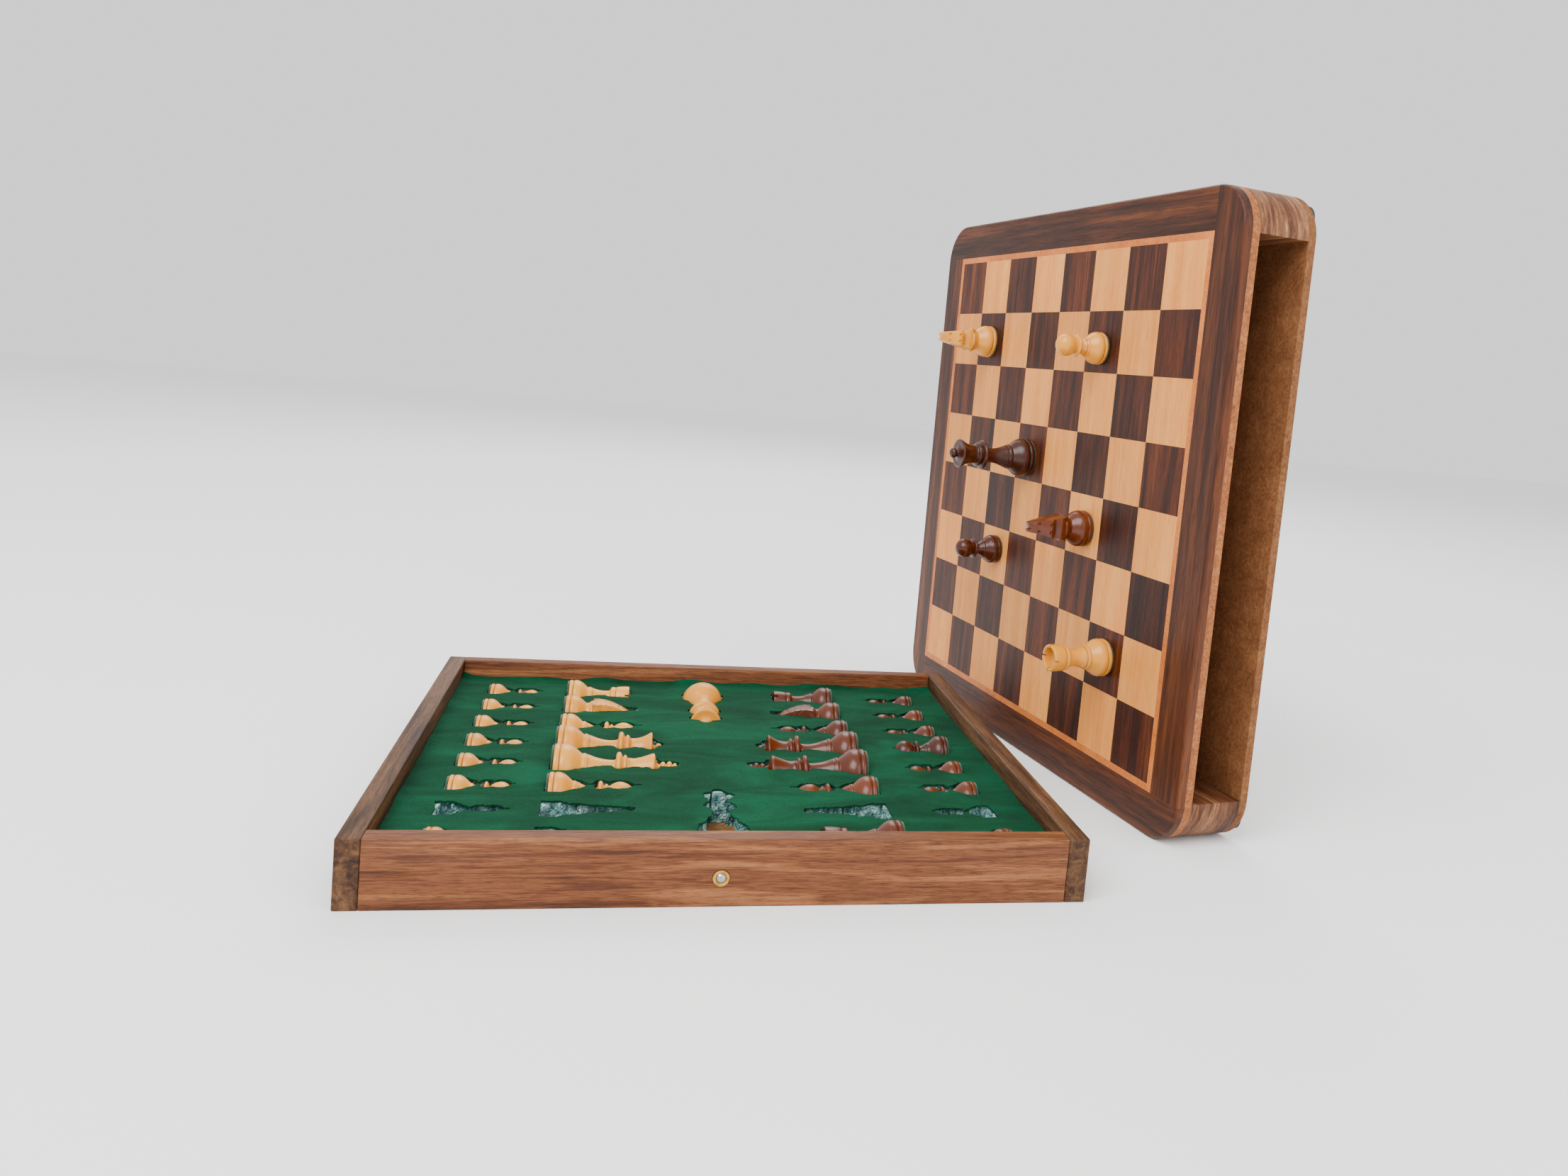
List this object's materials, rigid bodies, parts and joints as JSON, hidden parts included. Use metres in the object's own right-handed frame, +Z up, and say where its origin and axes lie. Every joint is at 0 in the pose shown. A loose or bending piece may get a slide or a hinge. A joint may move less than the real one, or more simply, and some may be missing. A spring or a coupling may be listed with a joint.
{
  "type": "travel chess set",
  "caption": "Rounded wooden case with an inlaid magnetic chessboard on its face and a sliding tray that holds turned pieces in die-cut foam under velvet.",
  "frame": {"origin": "middle of the tray's underside", "axes": "+X along the tray's front wall towards the case, +Y towards the tray's back, +Z up"},
  "size_m": [0.3832, 0.3567, 0.3048],
  "materials": {
    "tray_wood": "oiled, open grain",
    "case_wood": "satin lacquer",
    "light_wood": "satin lacquer",
    "fibreboard": "raw fibreboard",
    "plywood": "raw plywood",
    "foam": "closed-cell foam",
    "green_velvet": "short pile velvet",
    "brass": "turned",
    "steel": "bright",
    "black_rubber": "matte",
    "light_piece": "gloss lacquer",
    "brown_piece": "gloss lacquer"
  },
  "bodies": {
    "tray": {"tray_front_wall": "tray_wood", "tray_back_wall": "tray_wood", "tray_left_wall": "tray_wood", "tray_right_wall": "tray_wood", "tray_bottom": "plywood", "foam_insert": "foam", "velvet_cover": "green_velvet", "catch_sleeve": "brass", "catch_spring": "steel"},
    "catch_ball": {"catch_ball": "steel"},
    "case": {"back_panel": "fibreboard", "base_board": "fibreboard", "lower_rail": "case_wood", "upper_rail": "case_wood", "end_rail": "case_wood", "frame_closed_end": "case_wood", "frame_bottom": "case_wood", "frame_open_end": "case_wood", "frame_top": "case_wood", "steel_sheet": "steel", "inlay_strips": "light_wood", "dark_squares": "case_wood", "light_squares": "light_wood", "rubber_feet": "black_rubber"},
    "white_rook_1": {"white_rook_1": "light_piece"},
    "white_knight_1": {"white_knight_1": "light_piece"},
    "white_bishop_1": {"white_bishop_1": "light_piece"},
    "white_queen": {"white_queen": "light_piece"},
    "white_king": {"white_king": "light_piece"},
    "white_bishop_2": {"white_bishop_2": "light_piece"},
    "white_knight_2": {"white_knight_2": "light_piece"},
    "white_rook_2": {"white_rook_2": "light_piece"},
    "white_pawn_1": {"white_pawn_1": "light_piece"},
    "white_pawn_2": {"white_pawn_2": "light_piece"},
    "white_pawn_3": {"white_pawn_3": "light_piece"},
    "white_pawn_4": {"white_pawn_4": "light_piece"},
    "white_pawn_5": {"white_pawn_5": "light_piece"},
    "white_pawn_6": {"white_pawn_6": "light_piece"},
    "white_pawn_7": {"white_pawn_7": "light_piece"},
    "white_pawn_8": {"white_pawn_8": "light_piece"},
    "white_extra_queen": {"white_extra_queen": "light_piece"},
    "brown_rook_1": {"brown_rook_1": "brown_piece"},
    "brown_knight_1": {"brown_knight_1": "brown_piece"},
    "brown_bishop_1": {"brown_bishop_1": "brown_piece"},
    "brown_queen": {"brown_queen": "brown_piece"},
    "brown_king": {"brown_king": "brown_piece"},
    "brown_bishop_2": {"brown_bishop_2": "brown_piece"},
    "brown_knight_2": {"brown_knight_2": "brown_piece"},
    "brown_rook_2": {"brown_rook_2": "brown_piece"},
    "brown_pawn_1": {"brown_pawn_1": "brown_piece"},
    "brown_pawn_2": {"brown_pawn_2": "brown_piece"},
    "brown_pawn_3": {"brown_pawn_3": "brown_piece"},
    "brown_pawn_4": {"brown_pawn_4": "brown_piece"},
    "brown_pawn_5": {"brown_pawn_5": "brown_piece"},
    "brown_pawn_6": {"brown_pawn_6": "brown_piece"},
    "brown_pawn_7": {"brown_pawn_7": "brown_piece"},
    "brown_pawn_8": {"brown_pawn_8": "brown_piece"},
    "brown_extra_queen": {"brown_extra_queen": "brown_piece"}
  },
  "joints": [
    {"name": "case_lay_down", "type": "hinge", "parent": "tray", "child": "case", "pos_m": [0.21202, 0.07661, 0.001], "axis": [-0.1891, 0.982, 0], "range_deg": [0, 84]},
    {"name": "catch_press", "type": "slide", "parent": "tray", "child": "catch_ball", "axis": [0, 1, 0], "range_m": [0, 0.0009], "stiffness_N_per_m": 300, "springref_m": -0.0015, "deforming": ["catch_spring"]},
    {"name": "white_rook_1_lift", "type": "slide", "parent": "tray", "child": "white_rook_1", "axis": [0, 0, 1], "range_m": [0, 0.05]},
    {"name": "white_knight_1_lift", "type": "slide", "parent": "tray", "child": "white_knight_1", "axis": [0, 0, 1], "range_m": [0, 0.05]},
    {"name": "white_bishop_1_lift", "type": "slide", "parent": "tray", "child": "white_bishop_1", "axis": [0, 0, 1], "range_m": [0, 0.05]},
    {"name": "white_queen_lift", "type": "slide", "parent": "tray", "child": "white_queen", "axis": [0, 0, 1], "range_m": [0, 0.05]},
    {"name": "white_king_lift", "type": "slide", "parent": "tray", "child": "white_king", "axis": [0, 0, 1], "range_m": [0, 0.05]},
    {"name": "white_bishop_2_lift", "type": "slide", "parent": "tray", "child": "white_bishop_2", "axis": [0, 0, 1], "range_m": [0, 0.05]},
    {"name": "white_knight_2_lift", "type": "slide", "parent": "case", "child": "white_knight_2", "axis": [-0.982, -0.1891, 0], "range_m": [0, 0.05]},
    {"name": "white_rook_2_lift", "type": "slide", "parent": "case", "child": "white_rook_2", "axis": [-0.982, -0.1891, 0], "range_m": [0, 0.05]},
    {"name": "white_pawn_1_lift", "type": "slide", "parent": "tray", "child": "white_pawn_1", "axis": [0, 0, 1], "range_m": [0, 0.05]},
    {"name": "white_pawn_2_lift", "type": "slide", "parent": "tray", "child": "white_pawn_2", "axis": [0, 0, 1], "range_m": [0, 0.05]},
    {"name": "white_pawn_3_lift", "type": "slide", "parent": "tray", "child": "white_pawn_3", "axis": [0, 0, 1], "range_m": [0, 0.05]},
    {"name": "white_pawn_4_lift", "type": "slide", "parent": "tray", "child": "white_pawn_4", "axis": [0, 0, 1], "range_m": [0, 0.05]},
    {"name": "white_pawn_5_lift", "type": "slide", "parent": "tray", "child": "white_pawn_5", "axis": [0, 0, 1], "range_m": [0, 0.05]},
    {"name": "white_pawn_6_lift", "type": "slide", "parent": "tray", "child": "white_pawn_6", "axis": [0, 0, 1], "range_m": [0, 0.05]},
    {"name": "white_pawn_7_lift", "type": "slide", "parent": "case", "child": "white_pawn_7", "axis": [-0.982, -0.1891, 0], "range_m": [0, 0.05]},
    {"name": "white_pawn_8_lift", "type": "slide", "parent": "tray", "child": "white_pawn_8", "axis": [0, 0, 1], "range_m": [0, 0.05]},
    {"name": "white_extra_queen_lift", "type": "slide", "parent": "tray", "child": "white_extra_queen", "axis": [0, 0, 1], "range_m": [0, 0.05]},
    {"name": "brown_rook_1_lift", "type": "slide", "parent": "tray", "child": "brown_rook_1", "axis": [0, 0, 1], "range_m": [0, 0.05]},
    {"name": "brown_knight_1_lift", "type": "slide", "parent": "tray", "child": "brown_knight_1", "axis": [0, 0, 1], "range_m": [0, 0.05]},
    {"name": "brown_bishop_1_lift", "type": "slide", "parent": "tray", "child": "brown_bishop_1", "axis": [0, 0, 1], "range_m": [0, 0.05]},
    {"name": "brown_queen_lift", "type": "slide", "parent": "tray", "child": "brown_queen", "axis": [0, 0, 1], "range_m": [0, 0.05]},
    {"name": "brown_king_lift", "type": "slide", "parent": "tray", "child": "brown_king", "axis": [0, 0, 1], "range_m": [0, 0.05]},
    {"name": "brown_bishop_2_lift", "type": "slide", "parent": "tray", "child": "brown_bishop_2", "axis": [0, 0, 1], "range_m": [0, 0.05]},
    {"name": "brown_knight_2_lift", "type": "slide", "parent": "case", "child": "brown_knight_2", "axis": [-0.982, -0.1891, 0], "range_m": [0, 0.05]},
    {"name": "brown_rook_2_lift", "type": "slide", "parent": "tray", "child": "brown_rook_2", "axis": [0, 0, 1], "range_m": [0, 0.05]},
    {"name": "brown_pawn_1_lift", "type": "slide", "parent": "tray", "child": "brown_pawn_1", "axis": [0, 0, 1], "range_m": [0, 0.05]},
    {"name": "brown_pawn_2_lift", "type": "slide", "parent": "tray", "child": "brown_pawn_2", "axis": [0, 0, 1], "range_m": [0, 0.05]},
    {"name": "brown_pawn_3_lift", "type": "slide", "parent": "tray", "child": "brown_pawn_3", "axis": [0, 0, 1], "range_m": [0, 0.05]},
    {"name": "brown_pawn_4_lift", "type": "slide", "parent": "tray", "child": "brown_pawn_4", "axis": [0, 0, 1], "range_m": [0, 0.05]},
    {"name": "brown_pawn_5_lift", "type": "slide", "parent": "tray", "child": "brown_pawn_5", "axis": [0, 0, 1], "range_m": [0, 0.05]},
    {"name": "brown_pawn_6_lift", "type": "slide", "parent": "tray", "child": "brown_pawn_6", "axis": [0, 0, 1], "range_m": [0, 0.05]},
    {"name": "brown_pawn_7_lift", "type": "slide", "parent": "case", "child": "brown_pawn_7", "axis": [-0.982, -0.1891, 0], "range_m": [0, 0.05]},
    {"name": "brown_pawn_8_lift", "type": "slide", "parent": "tray", "child": "brown_pawn_8", "axis": [0, 0, 1], "range_m": [0, 0.05]},
    {"name": "brown_extra_queen_lift", "type": "slide", "parent": "case", "child": "brown_extra_queen", "axis": [-0.982, -0.1891, 0], "range_m": [0, 0.05]}
  ]
}
